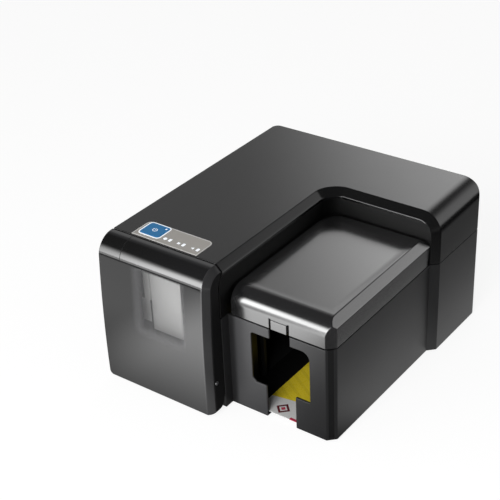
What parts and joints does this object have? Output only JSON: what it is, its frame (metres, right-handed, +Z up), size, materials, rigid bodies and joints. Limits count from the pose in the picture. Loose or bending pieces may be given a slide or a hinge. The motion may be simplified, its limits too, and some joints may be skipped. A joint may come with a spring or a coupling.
{
  "type": "plastic card printer",
  "caption": "Desktop printer for plastic cards with a hinged front door, an ink carriage, a card hopper under a lid, a roller feed and an output bin.",
  "frame": {"origin": "on the desk plane under the middle of the bounding box", "axes": "+X to the right as seen from the front, +Y to the back, +Z up"},
  "size_m": [0.24, 0.283, 0.1514],
  "materials": {
    "cover_plastic": "satin dark grey moulding",
    "base_plastic": "fine-grained dark grey moulding",
    "smoked_plastic": "glossy smoked moulding",
    "lid_plastic": "satin dark grey moulding",
    "panel_plastic": "warm grey label",
    "button_plastic": "clear blue cap",
    "lens_plastic": "milky light pipe",
    "inner_plastic": "black moulding",
    "pale_plastic": "light grey moulding",
    "gear_plastic": "natural moulding",
    "printed_card": "glossy print on white card",
    "white_card": "glossy white card",
    "rubber": "soft black rubber",
    "steel": "ground steel",
    "plate_metal": "black coated sheet",
    "motor_can": "zinc plated can",
    "circuit_board": "green solder mask"
  },
  "bodies": {
    "casing": {"base_shell": "base_plastic", "top_cover": "cover_plastic", "door_hinge_ears": "base_plastic", "door_hinge_pins": "steel", "door_catch": "inner_plastic", "lid_hinge_pins": "steel", "control_panel": "panel_plastic", "status_lenses": "lens_plastic", "panel_board": "circuit_board", "power_switch": "inner_plastic", "input_tray": "inner_plastic", "blank_cards": "white_card", "idler_pin": "steel", "feed_motor": "motor_can", "front_plate": "plate_metal", "gear_plate": "plate_metal", "platen": "inner_plastic", "front_bracket": "plate_metal", "rear_bracket": "plate_metal", "guide_rod": "steel", "guide_rail": "steel", "drive_belt": "rubber", "idler_axle": "steel", "idler_plate": "plate_metal", "carriage_motor": "motor_can", "motor_plate": "plate_metal", "service_station": "pale_plastic", "station_stand": "inner_plastic", "print_cap": "rubber", "main_board": "circuit_board", "usb_port": "steel", "power_inlet": "inner_plastic", "rubber_feet": "rubber", "cover_screws": "steel"},
    "door": {"front_door": "smoked_plastic", "door_rivet": "steel"},
    "lid": {"hopper_lid": "lid_plastic", "lid_tab": "lid_plastic"},
    "button": {"power_button": "button_plastic"},
    "ink_carriage": {"carriage": "inner_plastic", "ink_cartridge": "pale_plastic"},
    "belt_drive": {"motor_pulley": "gear_plastic"},
    "belt_idler": {"idler_pulley": "gear_plastic"},
    "feed_roller": {"feed_shaft": "steel", "feed_tyre": "rubber", "feed_gear": "gear_plastic"},
    "pick_roller": {"pick_shaft": "steel", "pick_tyre": "rubber", "pick_gear": "gear_plastic"},
    "middle_gear": {"idler_gear": "gear_plastic"},
    "pinion": {"motor_pinion": "gear_plastic"},
    "pinch": {"pinch_roller": "inner_plastic"},
    "card": {"output_card": "printed_card"}
  },
  "joints": [
    {"name": "door_swing", "type": "hinge", "parent": "casing", "child": "door", "pos_m": [-0.058, -0.134, 0.015], "axis": [1, 0, 0], "range_deg": [0, 85]},
    {"name": "lid_swing", "type": "hinge", "parent": "casing", "child": "lid", "pos_m": [0.06, 0.047, 0.1199], "axis": [-1, 0, 0], "range_deg": [0, 65]},
    {"name": "button_press", "type": "slide", "parent": "casing", "child": "button", "axis": [0, 0, -1], "range_m": [0, 0.001], "stiffness_N_per_m": 400, "springref_m": -0.001},
    {"name": "carriage_slide", "type": "slide", "parent": "casing", "child": "ink_carriage", "axis": [0, 1, 0], "range_m": [0, 0.095]},
    {"name": "belt_drive_spin", "type": "hinge", "parent": "casing", "child": "belt_drive", "pos_m": [-0.104, 0.045, 0.099], "axis": [0, 0, 1], "range_deg": [0, 800]},
    {"name": "belt_idler_spin", "type": "hinge", "parent": "casing", "child": "belt_idler", "pos_m": [-0.104, -0.103, 0.099], "axis": [0, 0, 1], "range_deg": [0, 800]},
    {"name": "feed_spin", "type": "hinge", "parent": "casing", "child": "feed_roller", "pos_m": [-0.008, 0, 0.0772], "axis": [0, -1, 0], "continuous": true},
    {"name": "pick_spin", "type": "hinge", "parent": "casing", "child": "pick_roller", "pos_m": [0.04, 0, 0.0772], "axis": [0, -1, 0], "continuous": true},
    {"name": "middle_gear_spin", "type": "hinge", "parent": "casing", "child": "middle_gear", "pos_m": [0.016, 0.035, 0.0772], "axis": [0, -1, 0], "continuous": true},
    {"name": "pinion_spin", "type": "hinge", "parent": "casing", "child": "pinion", "pos_m": [0.016, 0.035, 0.0572], "axis": [0, -1, 0], "continuous": true},
    {"name": "pinch_spin", "type": "hinge", "parent": "casing", "child": "pinch", "pos_m": [-0.008, 0, 0.09276], "axis": [0, -1, 0], "continuous": true},
    {"name": "card_lift", "type": "slide", "parent": "casing", "child": "card", "axis": [0, 0, 1], "range_m": [0, 0.04]}
  ],
  "couplings": [
    {"joint": "belt_drive_spin", "follows": "carriage_slide", "rad_per_m": 144.93},
    {"joint": "belt_idler_spin", "follows": "carriage_slide", "rad_per_m": 144.93},
    {"joint": "pick_spin", "follows": "feed_spin", "ratio": 1},
    {"joint": "middle_gear_spin", "follows": "feed_spin", "ratio": -1},
    {"joint": "pinion_spin", "follows": "feed_spin", "ratio": 1.5},
    {"joint": "pinch_spin", "follows": "feed_spin", "ratio": -1.3333}
  ]
}
